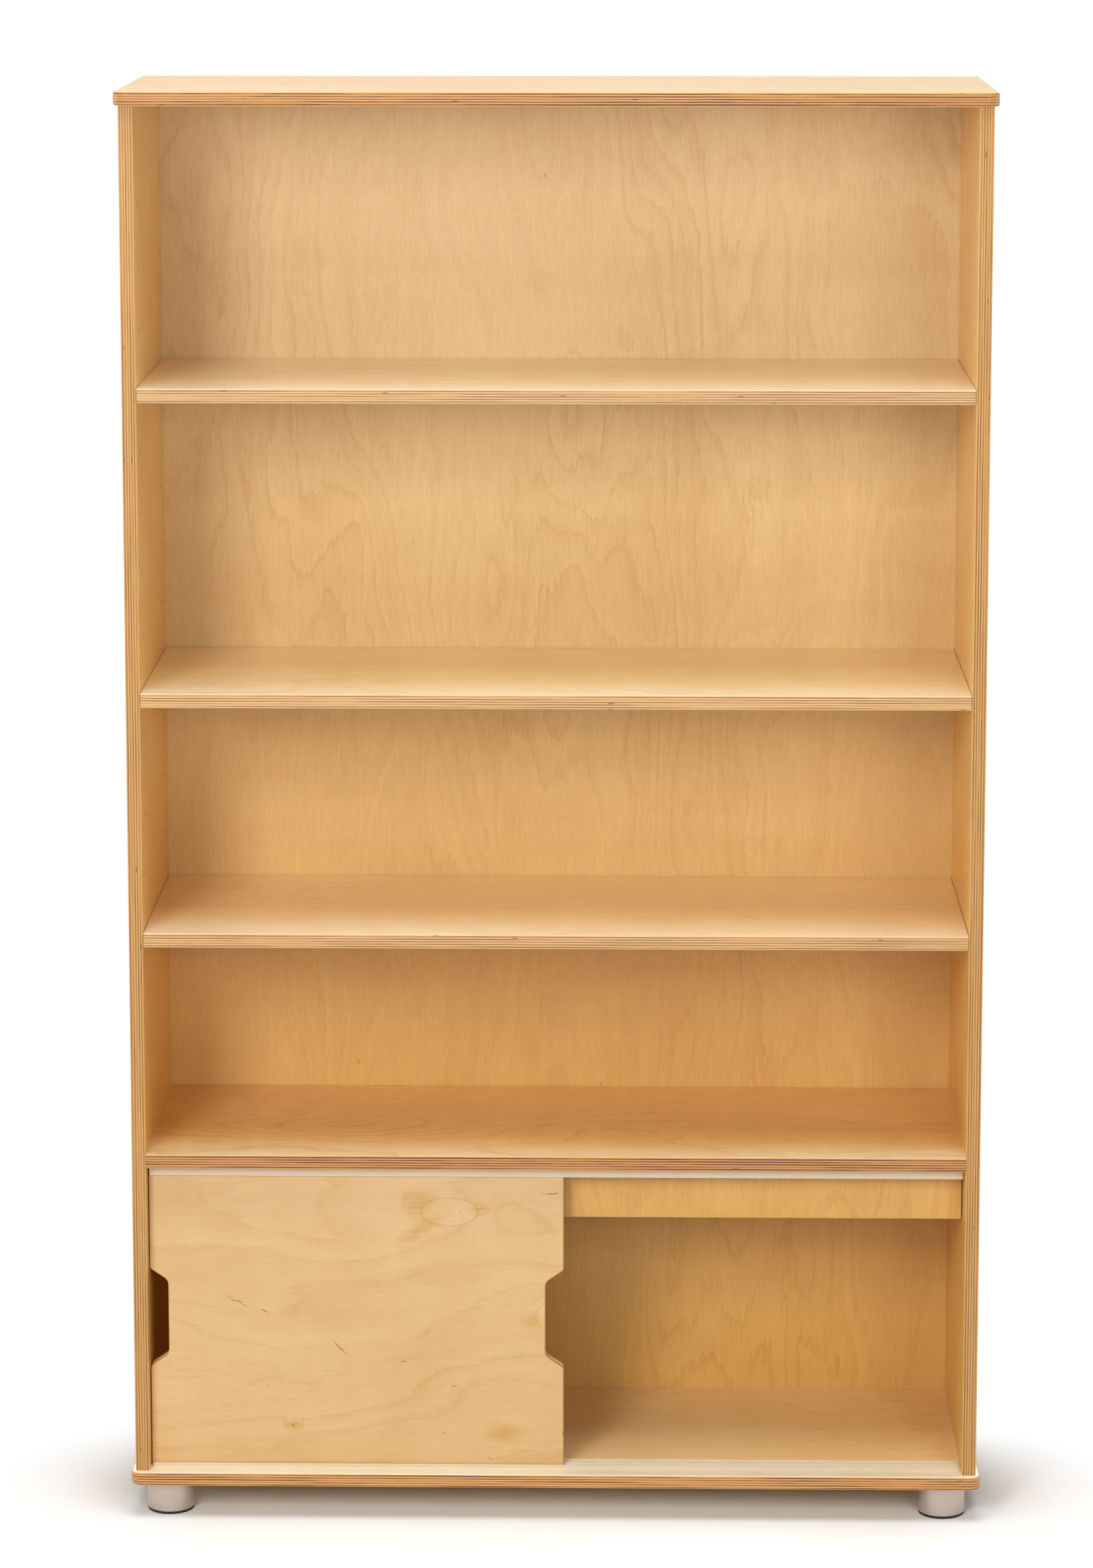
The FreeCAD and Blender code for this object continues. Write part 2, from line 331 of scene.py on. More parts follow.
@dataclass(frozen=True)
class PaintedLight:
    """Painted light and shade: a slow change of a board's colour, as shares of its colour at two places on
    one axis.
    """

    axis: Axis
    start: float
    end: float
    first: Colour
    last: Colour


@dataclass(frozen=True)
class Tone:
    """The tones of one piece: its face veneer and the plies of its edges."""

    light: Colour = tone(236, 201, 139)
    deep: Colour = tone(214, 170, 108)
    mark: Colour = tone(136, 84, 40)
    stain: Colour = tone(196, 134, 68)
    pale_ply: Colour = tone(232, 188, 124)
    dark_ply: Colour = tone(188, 132, 74)
    glue: Colour = tone(98, 46, 20)
    void: Colour = tone(46, 22, 10)
    contrast: float = 1.0


@dataclass(frozen=True)
class RotaryCut:
    """What the face of a rotary-cut birch veneer is drawn with."""

    swell: Streaks = Streaks(2.3, 7.0, detail=2.6, roughness=0.42)
    jags: Streaks = Streaks(42.0, 230.0, 41.0, 2.0, 0.6, strength=0.045)
    breaks: Streaks = Streaks(17.0, 60.0, 19.0, 3.0, 0.6)
    regions: Streaks = Streaks(2.2, 3.5, 7.0)
    flow: Streaks = Streaks(1.6, 34.0, 3.0, 3.0, 0.6, strength=0.62)
    fibres: Streaks = Streaks(90.0, 1100.0, 0.0, 2.0, 0.6, strength=0.75)
    grit: Streaks = Streaks(26.0, 330.0, 17.0, 3.0, 0.6, strength=0.55)
    clouds: Streaks = Streaks(3.2, 5.5, 11.0, 2.5, strength=0.80)
    ripple: Streaks = Streaks(30.0, 7.0, 29.0, strength=0.34)
    fine_line: RingShade = RingShade(13.0, Ramp(0.95, 1.0, 1.0, 0.0))
    late_wood: RingShade = RingShade(3.0, Ramp(0.90, 1.0, 0.42, 0.0))
    line_breaks: Ramp = Ramp(0.36, 0.62, 0.15, 1.0)
    line_regions: Ramp = Ramp(0.36, 0.62, 0.12, 1.0)
    middle_depth: float = 0.42
    fleck_counts: tuple[float, float] = (7.0, 34.0)
    fleck_scatter: float = 1.0
    fleck_spot: Ramp = Ramp(0.010, 0.028, 1.0, 0.0)
    fleck_chance: Ramp = Ramp(0.60, 0.9, 0.0, 0.8)
    shake_scale: float = 150.0
    shake_detail: float = 3.0
    shake_roughness: float = 0.65
    shake_along: float = 11 * MM
    shake_across: float = 7 * MM
    stain_breaks: Ramp = Ramp(0.32, 0.68, 0.35, 1.0)
    core_middle: float = 0.5
    core_rim: float = 1.3
    patch_inside: Ramp = Ramp(0.985, 1.015, 1.0, 0.0)
    patch_fibres: Ramp = Ramp(0.2, 0.8, 0.0, 0.45)
    patch_rim_rise: Ramp = Ramp(0.97, 1.0)
    patch_rim_fall: Ramp = Ramp(1.0, 1.04, 0.42, 0.0)


@dataclass(frozen=True)
class SawnEdge:
    """What the plies and glue lines of a sawn edge are drawn with."""

    waver: Streaks = Streaks(7.0, 0.0, strength=0.45)
    stretches: Streaks = Streaks(6.0, 3.7, 0.0, 3.0, 0.62)
    fine: Streaks = Streaks(30.0, 2.2, 5.0, 3.0, 0.65)
    cross_ply: Ramp = Ramp(0.46, 0.68)
    cross_ply_least: float = 0.60
    cross_ply_more: float = 0.35
    burnt: Ramp = Ramp(0.36, 0.62)
    pale_streaks: Ramp = Ramp(0.35, 0.75, 0.0, 0.45)
    seam_below: Ramp = Ramp(0.0, 0.16, 1.0, 0.0)
    seam_above: Ramp = Ramp(0.84, 1.0)
    seam_breaks: Ramp = Ramp(0.3, 0.7, 0.0, 0.7)
    void_count: float = 60.0
    void_scatter: float = 0.8
    void_spot: Ramp = Ramp(0.16, 0.30, 1.0, 0.0)
    void_chance: float = 0.984


@dataclass(frozen=True)
class BirchPlywood:
    """Birch plywood: rotary-cut face veneer with a satin lacquer, and striped edges."""

    name: str
    grain: Axis
    through: Axis
    low: float
    thickness: float
    plies: int
    seed: float
    tones: Tone = Tone()
    cut: RotaryCut = RotaryCut()
    sawn: SawnEdge = SawnEdge()
    figure: float = 0.55
    fibre: float = 1.0
    tilt: float = 1.8
    rings: float = 10.0
    knots: tuple[Knot, ...] = ()
    patches: tuple[Patch, ...] = ()
    # Painted light and shade over the face veneer, only on the face turned towards the painted side.
    drift: PaintedLight | None = None
    shown_side: float = 1.0
    flat_face: Ramp = Ramp(0.70, 0.80)
    roughness: Ramp = Ramp(0.0, 1.0, 0.56, 0.42)
    roughness_swing: float = 0.12
    relief: float = 0.05
    relief_depth: float = 0.4 * MM
    specular: float = 0.25
    lacquer: float = 0.30
    lacquer_index: float = 1.36
    lacquer_roughness: float = 0.18

    def axes(self) -> tuple[int, int, int]:
        """Numbers of the directions along the grain, across it and through the board."""
        across = 3 - self.grain.value - self.through.value
        return self.grain.value, across, self.through.value

    def growth(self, bench: Bench, along: Socket, across: Socket) -> Socket:
        """The height field whose contours are the growth rings that the veneer knife cut through.

        Args:
            bench: The material in work.
            along: Place along the grain.
            across: Place across the grain.

        Returns:
            The socket of the field.
        """
        height = bench.drawn(along, across, self.cut.swell, self.seed)
        height = bench.math("MULTIPLY_ADD", across, self.tilt, height)
        jags = bench.drawn(along, across, self.cut.jags, self.seed)
        height = bench.add_swing(height, jags, self.cut.jags.strength)
        for spot in (*self.knots, *self.patches):
            if spot.lines:
                far = self.distance(bench, along, across, spot)
                near = bench.span(far, Ramp(0.0, spot.reach, 1.0, 0.0))
                height = bench.math("MULTIPLY_ADD", near, spot.lines / self.rings, height)
        return height

    def distance(self, bench: Bench, along: Socket, across: Socket, spot: Knot | Patch) -> Socket:
        """Distance from a knot or patch in its own half sizes, so that 1 is its rim.

        Args:
            bench: The material in work.
            along: Place along the grain.
            across: Place across the grain.
            spot: The knot or patch.

        Returns:
            The socket of the distance.
        """
        run = bench.math("SUBTRACT", along, spot.along)
        rise = bench.math("SUBTRACT", across, spot.across)
        if spot.lean:
            rise = bench.math("MULTIPLY_ADD", run, -spot.lean, rise)
        u = bench.math("DIVIDE", run, spot.length)
        v = bench.math("DIVIDE", rise, spot.width)
        return bench.math("SQRT", bench.math("MULTIPLY_ADD", u, u, bench.math("MULTIPLY", v, v)))

    def shaken(self, bench: Bench, along: Socket, across: Socket) -> tuple[Socket, Socket]:
        """The place pushed about by a few millimetres, so that knots and stains grow irregular.

        Args:
            bench: The material in work.
            along: Place along the grain.
            across: Place across the grain.

        Returns:
            The sockets of the pushed place.
        """
        cut = self.cut
        inputs = {"Vector": bench.place(along, across, self.seed), "Scale": cut.shake_scale,
                  "Detail": cut.shake_detail, "Roughness": cut.shake_roughness}
        push = bench.node("TexNoise", inputs).outputs["Color"]
        run, rise, _ = bench.node("SeparateColor", {0: push}).outputs
        return bench.add_swing(along, run, cut.shake_along), bench.add_swing(across, rise, cut.shake_across)

    def veneer(self, bench: Bench, along: Socket, across: Socket) -> tuple[Socket, Socket]:
        """Colour of the face veneer.

        Args:
            bench: The material in work.
            along: Place along the grain.
            across: Place across the grain.

        Returns:
            The sockets of the colour and of the fine fibre relief.
        """
        cut = self.cut
        height = self.growth(bench, along, across)
        ring = bench.math("FRACT", bench.math("MULTIPLY", height, self.rings))
        breaks = bench.span(bench.drawn(along, across, cut.breaks, self.seed), cut.line_breaks)
        line = bench.math("MULTIPLY", bench.ring_shade(ring, cut.fine_line), breaks)
        line = bench.math("ADD", line, bench.ring_shade(ring, cut.late_wood))
        regions = bench.span(bench.drawn(along, across, cut.regions, self.seed), cut.line_regions)
        line = bench.math("MULTIPLY", line, regions)
        depth = bench.math("MULTIPLY_ADD", line, self.figure, cut.middle_depth)
        flow = bench.drawn(along, height, cut.flow, self.seed)
        fibres = bench.drawn(along, across, cut.fibres, self.seed)
        grit = bench.drawn(along, across, cut.grit, self.seed)
        clouds = bench.drawn(along, across, cut.clouds, self.seed)
        ripple = bench.drawn(along, across, cut.ripple, self.seed)
        swings = ((flow, cut.flow.strength), (fibres, cut.fibres.strength * self.fibre),
                  (grit, cut.grit.strength * self.fibre), (clouds, cut.clouds.strength),
                  (ripple, cut.ripple.strength))
        for noise, strength in swings:
            depth = bench.add_swing(depth, noise, strength)
        colour = bench.blend(depth, self.tones.light, self.tones.deep)
        colour = bench.blend(self.flecks(bench, along, across), colour, self.tones.mark)
        for patch in self.patches:
            colour = self.patched(bench, colour, self.distance(bench, along, across, patch), fibres)
        return self.knotted(bench, colour, along, across, grit), fibres

    def knotted(self, bench: Bench, colour: Socket, along: Socket, across: Socket, streaks: Socket) -> Socket:
        """Lays the knots and their stains over the veneer.

        Args:
            bench: The material in work.
            colour: The veneer without its knots.
            along: Place along the grain.
            across: Place across the grain.
            streaks: Noise drawn out along the grain, which breaks up the stains.

        Returns:
            The socket of the colour.
        """
        if not self.knots:
            return colour
        cut = self.cut
        shaken = self.shaken(bench, along, across)
        smudge = 0.0
        core = 0.0
        for knot in self.knots:
            far = self.distance(bench, *shaken, knot)
            stained = bench.span(far, Ramp(0.0, knot.reach, knot.stain, 0.0))
            dark = bench.span(far, Ramp(cut.core_middle, cut.core_rim, knot.core, 0.0))
            smudge = bench.math("MAXIMUM", smudge, stained)
            core = bench.math("MAXIMUM", core, dark)
        uneven = bench.math("MULTIPLY", smudge, bench.span(streaks, cut.stain_breaks))
        colour = bench.blend(uneven, colour, self.tones.stain)
        return bench.blend(core, colour, self.tones.mark)

    def patched(self, bench: Bench, colour: Socket, far: Socket, fibres: Socket) -> Socket:
        """Lays the plain veneer of a repair patch over the board's own.

        Args:
            bench: The material in work.
            colour: The board's veneer.
            far: Distance from the patch's middle in its half sizes.
            fibres: The fine fibres.

        Returns:
            The socket of the colour.
        """
        cut = self.cut
        plain = bench.blend(bench.span(fibres, cut.patch_fibres), self.tones.light, self.tones.deep)
        colour = bench.blend(bench.span(far, cut.patch_inside), colour, plain)
        rim = bench.math("MULTIPLY", bench.span(far, cut.patch_rim_rise), bench.span(far, cut.patch_rim_fall))
        return bench.blend(rim, colour, self.tones.mark)

    def flecks(self, bench: Bench, along: Socket, across: Socket) -> Socket:
        """Finds the few short brown flecks of birch.

        Args:
            bench: The material in work.
            along: Place along the grain.
            across: Place across the grain.

        Returns:
            The socket of their strength, from 0 to 1.
        """
        run = bench.math("MULTIPLY", along, self.cut.fleck_counts[0])
        rise = bench.math("MULTIPLY", across, self.cut.fleck_counts[1])
        far, chance = bench.cells(bench.place(run, rise, self.seed), self.cut.fleck_scatter)
        spot = bench.span(far, self.cut.fleck_spot)
        return bench.math("MULTIPLY", spot, bench.span(chance, self.cut.fleck_chance))

    def edge(self, bench: Bench, along: Socket, through: Socket) -> Socket:
        """Colour of a sawn edge, with its plies and glue lines.

        Args:
            bench: The material in work.
            along: Place along the edge.
            through: Place through the board's thickness.

        Returns:
            The socket of the colour.
        """
        tones, sawn = self.tones, self.sawn
        height = bench.math("DIVIDE", bench.math("SUBTRACT", through, self.low), self.thickness / self.plies)
        height = bench.add_swing(height, bench.drawn(along, 0.0, sawn.waver, self.seed), sawn.waver.strength)
        ply = bench.math("FLOOR", height)
        inside = bench.math("FRACT", height)
        stretches = bench.drawn(along, ply, sawn.stretches, self.seed)
        fine = bench.drawn(along, height, sawn.fine, self.seed)
        burnt = bench.math("MULTIPLY", bench.span(stretches, sawn.burnt), tones.contrast)
        dark = bench.blend(burnt, tones.dark_ply, tones.glue)
        pale = bench.blend(bench.span(fine, sawn.pale_streaks), tones.pale_ply, tones.dark_ply)
        odd = bench.math("PINGPONG", bench.math("SUBTRACT", height, 0.5), 1.0)
        strength = sawn.cross_ply_least + sawn.cross_ply_more * tones.contrast
        crossed = bench.math("MULTIPLY", bench.span(odd, sawn.cross_ply), strength)
        colour = bench.blend(crossed, pale, dark)
        seam = bench.math("MAXIMUM", bench.span(inside, sawn.seam_below), bench.span(inside, sawn.seam_above))
        seam = bench.math("MULTIPLY", seam, bench.span(stretches, sawn.seam_breaks))
        colour = bench.blend(seam, colour, tones.glue)
        spread = bench.place(bench.math("MULTIPLY", along, sawn.void_count), height, self.seed)
        far, chance = bench.cells(spread, sawn.void_scatter)
        chosen = bench.math("GREATER_THAN", chance, sawn.void_chance)
        hollow = bench.math("MULTIPLY", bench.span(far, sawn.void_spot), chosen)
        return bench.blend(hollow, colour, tones.void)

    def build(self) -> bpy.types.Material:
        """Makes the plywood.

        Returns:
            The finished material.
        """
        bench = Bench(bpy.data.materials.new(self.name))
        parts = bench.parts(bench.here())
        grain, across, through = self.axes()
        normal = bench.node("NewGeometry").outputs["True Normal"]
        facing = bench.node("VectorTransform", {0: normal}, vector_type="NORMAL",
                            convert_from="WORLD", convert_to="OBJECT").outputs[0]
        turned = bench.parts(facing)[through]
        face_share = bench.span(bench.math("ABSOLUTE", turned), self.flat_face)
        veneer, fibres = self.veneer(bench, parts[grain], parts[across])
        edge = self.edge(bench, bench.math("ADD", parts[grain], parts[across]), parts[through])
        # Painted light and shade: the face veneer turned to the painted side is multiplied by colour shares
        # that change along one axis.
        if self.drift:
            share = bench.span(parts[self.drift.axis.value], Ramp(self.drift.start, self.drift.end))
            painted_tint = bench.blend(share, self.drift.first, self.drift.last)
            shown = bench.math("GREATER_THAN", bench.math("MULTIPLY", turned, self.shown_side), 0.5)
            veneer = bench.blend(shown, veneer, painted_tint, "MULTIPLY")
        rough = bench.add_swing(bench.span(face_share, self.roughness), fibres, self.roughness_swing)
        inputs = {"Base Color": bench.blend(face_share, edge, veneer), "Roughness": rough,
                  "Normal": bench.relief(fibres, self.relief, self.relief_depth),
                  "Specular IOR Level": self.specular, "Coat Weight": self.lacquer,
                  "Coat IOR": self.lacquer_index, "Coat Roughness": self.lacquer_roughness}
        return bench.finish(bench.node("BsdfPrincipled", inputs))


@dataclass(frozen=True)
class TrackPlastic:
    """Cream extruded plastic with faint draw lines along its length."""

    name: str = "cream_plastic_track"
    body: Colour = tone(226, 210, 184)
    shade: Colour = tone(205, 184, 153)
    draw_lines: Triple = (3.0, 1500.0, 1500.0)
    draw_line_share: float = 0.5
    dust_scale: float = 40.0
    dust_detail: float = 3.0
    dust_share: float = 0.4
    roughness: float = 0.46
    relief: float = 0.08
    relief_depth: float = 0.2 * MM
    milkiness: float = 0.08
    milk_depth: float = 2 * MM

    def build(self) -> bpy.types.Material:
        """Makes the plastic.

        Returns:
            The finished material.
        """
        bench = Bench(bpy.data.materials.new(self.name))
        here = bench.here()
        lines = bench.noise(bench.scaled(here, self.draw_lines))
        dust = bench.noise(here, self.dust_scale, self.dust_detail)
        dusty = bench.math("MULTIPLY", dust, self.dust_share)
        share = bench.math("MULTIPLY_ADD", lines, self.draw_line_share, dusty)
        inputs = {"Base Color": bench.blend(share, self.body, self.shade), "Roughness": self.roughness,
                  "Normal": bench.relief(lines, self.relief, self.relief_depth),
                  "Subsurface Weight": self.milkiness, "Subsurface Scale": self.milk_depth}
        return bench.finish(bench.node("BsdfPrincipled", inputs))


@dataclass(frozen=True)
class SatinMetal:
    """Satin plated metal with fine turned lines."""

    name: str
    body: Colour
    roughness: float
    metallic: float = 1.0
    turned_lines: Triple = (6.0, 6.0, 2600.0)
    line_shade: float = 0.82
    line_share: float = 0.6
    smudge_scale: float = 55.0
    roughness_swing: float = 0.10
    relief: float = 0.06
    relief_depth: float = 0.1 * MM

    def build(self) -> bpy.types.Material:
        """Makes the metal.

        Returns:
            The finished material.
        """
        bench = Bench(bpy.data.materials.new(self.name))
        here = bench.here()
        lines = bench.noise(bench.scaled(here, self.turned_lines))
        smudge = bench.noise(here, self.smudge_scale)
        dark = tuple(self.line_shade * level for level in self.body)
        rough = bench.add_swing(self.roughness, smudge, self.roughness_swing)
        rough = bench.add_swing(rough, lines, self.roughness_swing)
        colour = bench.blend(bench.math("MULTIPLY", lines, self.line_share), self.body, dark)
        inputs = {"Base Color": colour, "Metallic": self.metallic, "Roughness": rough,
                  "Normal": bench.relief(lines, self.relief, self.relief_depth)}
        return bench.finish(bench.node("BsdfPrincipled", inputs))


@dataclass(frozen=True)
class SoftRubber:
    """Black rubber with a fine grain and a little dust."""

    name: str = "black_rubber_pad"
    body: Colour = tone(14, 10, 11)
    dust: Colour = tone(34, 30, 29)
    grain_scale: float = 900.0
    dust_scale: float = 70.0
    dust_detail: float = 3.0
    dust_spread: Ramp = Ramp(0.45, 0.8, 0.0, 0.5)
    roughness: float = 0.7
    relief: float = 0.2
    relief_depth: float = 0.2 * MM

    def build(self) -> bpy.types.Material:
        """Makes the rubber.

        Returns:
            The finished material.
        """
        bench = Bench(bpy.data.materials.new(self.name))
        here = bench.here()
        grain = bench.noise(here, self.grain_scale)
        dusty = bench.span(bench.noise(here, self.dust_scale, self.dust_detail), self.dust_spread)
        inputs = {"Base Color": bench.blend(dusty, self.body, self.dust), "Roughness": self.roughness,
                  "Normal": bench.relief(grain, self.relief, self.relief_depth)}
        return bench.finish(bench.node("BsdfPrincipled", inputs))


def dress(node: str, material: bpy.types.Material) -> None:
    """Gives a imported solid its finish.

    Args:
        node: The solid's node.
        material: The finish.
    """
    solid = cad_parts[node]
    solid.data.materials.clear()
    solid.data.materials.append(material)
    log.info("%s: %s", node, material.name)


def dress_board(node: str, grain: Axis, through: Axis, plies: int, **looks: object) -> None:
    """Gives a packed board its own plywood finish.

    Args:
        node: The board's node.
        grain: The direction of its grain.
        through: The direction through its thickness.
        plies: How many plies it has.
        looks: Other fields of the finish.
    """
    low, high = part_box(node)
    face = low[through.value]
    thickness = high[through.value] - face
    dress(node, BirchPlywood(node, grain, through, face, thickness, plies, PATTERNS[node], **looks).build())


@dataclass
class Carcass:
    """Top and base board, side panels, back panel, fixed shelf and rail."""

    thick_plies: int = 11
    back_plies: int = 5
    tongue_plies: int = 3
    tongue_thickness: float = 4 * MM
    side_tones: Tone = Tone(light=tone(235, 197, 131), deep=tone(214, 165, 99), pale_ply=tone(209, 163, 100),
                            dark_ply=tone(174, 122, 64), glue=tone(124, 74, 36), contrast=0.75)
    rail_tones: Tone = Tone(light=tone(230, 183, 107), deep=tone(198, 141, 68), contrast=0.6)
    ceiling_tones: Tone = Tone(light=tone(239, 196, 124), deep=tone(209, 154, 82),
                               pale_ply=tone(208, 152, 90), dark_ply=tone(168, 110, 56), contrast=1.1)
    top_tones: Tone = Tone(light=tone(236, 199, 134), deep=tone(214, 168, 104), pale_ply=tone(206, 154, 92),
                           dark_ply=tone(168, 110, 54), glue=tone(100, 54, 22), contrast=1.1)
    base_tones: Tone = Tone(light=tone(236, 206, 154), deep=tone(218, 177, 122),
                            pale_ply=tone(220, 166, 100), dark_ply=tone(186, 128, 68))
    # Painted shade and light on the back panel's front face: deeper and more saturated low down, where the
    # cupboard and lower bays lie in shade, paler up to the top bay.
    back_drift: PaintedLight = PaintedLight(Axis.UP, 0.10, 1.40, (0.94, 0.82, 0.54), (0.93, 1.01, 1.24))
    # Painted shade and light on the side panels' inner faces: deeper and more saturated low down, where the
    # bays lie in shade, paler higher up.
    side_drift: PaintedLight = PaintedLight(Axis.UP, 0.30, 1.40, (1.07, 0.96, 0.68), (1.11, 1.18, 1.26))
    # Painted highlight on the base board's top: its front strip, where the light falls on it and its rounded
    # edge, is paler and whiter.
    base_drift: PaintedLight = PaintedLight(Axis.DEPTH, -0.128, -0.106, (1.0, 1.25, 1.75), (1.10, 1.08, 0.98))
    # Painted highlight on the cupboard ceiling's top: its lit front strip is much paler and whiter.
    ceiling_drift: PaintedLight = PaintedLight(Axis.DEPTH, -0.14, -0.06, (1.06, 1.40, 2.40), (1.0, 0.98, 0.92))
    ceiling_eye: Knot = Knot(-0.235, -0.035, 0.085, 0.030, lines=3.6, reach=2.4)
    inward: tuple[tuple[str, float], ...] = (("left_side_panel", 1.0), ("right_side_panel", -1.0))
    tongues: tuple[str, ...] = ("top_tongues", "base_tongues", "ceiling_tongues", "rail_tongue")

    def dress(self) -> None:
        """Gives the carcass its finishes."""
        level = (Axis.ACROSS, Axis.UP, self.thick_plies)
        dress_board("top_board", *level, tones=self.top_tones)
        dress_board("base_board", *level, tones=self.base_tones, drift=self.base_drift, lacquer=0.5)
        dress_board("cupboard_ceiling", *level, tones=self.ceiling_tones, knots=(self.ceiling_eye,),
                    drift=self.ceiling_drift, lacquer=0.85, figure=0.95)
        for node, side in self.inward:
            dress_board(node, Axis.UP, Axis.ACROSS, self.thick_plies, tones=self.side_tones,
                        drift=self.side_drift, shown_side=side)
        dress_board("back_panel", Axis.UP, Axis.DEPTH, self.back_plies, drift=self.back_drift,
                    shown_side=-1.0, figure=0.62, rings=15.0)
        dress_board("cupboard_rail", Axis.UP, Axis.DEPTH, self.thick_plies, tones=self.rail_tones,
                    figure=0.4, fibre=0.75)
        self.dress_tongues("loose_tongues")

    def dress_tongues(self, name: str) -> None:
        """Gives all loose tongues the same bare plywood.

        Args:
            name: The plywood's name.
        """
        bare = BirchPlywood(name, Axis.DEPTH, Axis.UP, 0.0, self.tongue_thickness, self.tongue_plies,
                            PATTERNS[name]).build()
        for node in self.tongues:
            dress(node, bare)


@dataclass
class BackPins:
    """The small steel pins that hold the back panel in its rebates and on the cupboard's ceiling."""

    steel: bpy.types.Material
    pitch: float = 145 * MM
    edge_inset: float = 4 * MM
    end_inset: float = 40 * MM
    row_height: float = 392 * MM
    sides: int = 16
    profile: tuple[tuple[float, float], ...] = (
        (1.50 * MM, -0.20 * MM), (1.60 * MM, 0.10 * MM), (1.35 * MM, 0.28 * MM), (0.70 * MM, 0.38 * MM))

    def spread(self, low: float, high: float) -> list[float]:
        """Evenly spaced places from low to high, about one pitch apart."""
        steps = round((high - low) / self.pitch)
        return [low + (high - low) * i / steps for i in range(steps + 1)]

    def places(self) -> list[tuple[float, float]]:
        """Finds where the pins stand on the back panel.

        Returns:
            Their places from side to side and their heights.
        """
        low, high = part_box("back_panel")
        columns = (low.x + self.edge_inset, high.x - self.edge_inset)
        rows = self.spread(low.z + self.end_inset, high.z - self.end_inset)
        upright = [(x, z) for x in columns for z in rows]
        inner = self.spread(columns[0] + self.pitch, columns[1] - self.pitch)
        return upright + [(x, self.row_height) for x in inner]

    def head(self, x: float, z: float, face: float) -> list[tuple[float, float, float]]:
        """Points of one domed head, ring by ring from the panel outwards.

        Args:
            x: The pin's place from side to side.
            z: The pin's height.
            face: Where the panel's back face lies.

        Returns:
            The points.
        """
        turns = [math.tau * i / self.sides for i in range(self.sides)]
        return [(x + radius * math.cos(turn), face + rise, z + radius * math.sin(turn))
                for radius, rise in self.profile for turn in turns]

    def head_faces(self, first: int) -> list[tuple[int, ...]]:
        """Faces of one head: its rings and its two ends.

        Args:
            first: The number of the head's first point.

        Returns:
            The faces.
        """
        faces = []
        for ring in range(len(self.profile) - 1):
            low = first + ring * self.sides
            high = low + self.sides
            for i in range(self.sides):
                j = (i + 1) % self.sides
                faces.append((low + i, high + i, high + j, low + j))
        last = first + (len(self.profile) - 1) * self.sides
        faces.append(tuple(last + i for i in reversed(range(self.sides))))
        faces.append(tuple(first + i for i in range(self.sides)))
        return faces

    def build(self) -> None:
        """Makes the domed heads on the panel's back face."""
        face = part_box("back_panel")[1].y
        points = []
        faces = []
        places = self.places()
        for x, z in places:
            faces.extend(self.head_faces(len(points)))
            points.extend(self.head(x, z, face))
        mesh = bpy.data.meshes.new("back_pin_heads")
        mesh.from_pydata(points, [], faces)
        mesh.materials.append(self.steel)
        heads = bpy.data.objects.new("back_pin_heads", mesh)
        bpy.context.scene.collection.objects.link(heads)
        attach(heads, "carcass")
        log.info("back_pin_heads: %d pins", len(places))


@dataclass
class Shelves:
    """The three adjustable shelves and their pins."""

    steel: bpy.types.Material
    plies: int = 11
    lacquer: float = 1.0
    # Painted light on the shelf tops: the front strip, where the light from above falls, is paler and whiter.
    drift: PaintedLight = PaintedLight(Axis.DEPTH, -0.14, -0.04, (1.02, 1.17, 1.58), (1.0, 1.0, 1.0))
    tones: dict[str, Tone] = field(default_factory=lambda: {
        "upper": Tone(light=tone(250, 230, 182), deep=tone(228, 194, 142), pale_ply=tone(220, 182, 129),
                      dark_ply=tone(186, 138, 86), contrast=0.65),
        "middle": Tone(light=tone(249, 226, 171), deep=tone(227, 189, 132), pale_ply=tone(225, 184, 126),
                       dark_ply=tone(190, 140, 86), contrast=0.65),
        "lower": Tone(light=tone(249, 220, 163), deep=tone(227, 184, 126), pale_ply=tone(223, 179, 120),
                      dark_ply=tone(186, 135, 80), contrast=0.7),
    })

    def dress(self) -> None:
        """Gives the shelves and pins their finishes."""
        for name, tones in self.tones.items():
            dress_board(name + "_shelf", Axis.ACROSS, Axis.UP, self.plies, tones=tones, drift=self.drift,
                        lacquer=self.lacquer)
            dress(name + "_shelf_pins", self.steel)


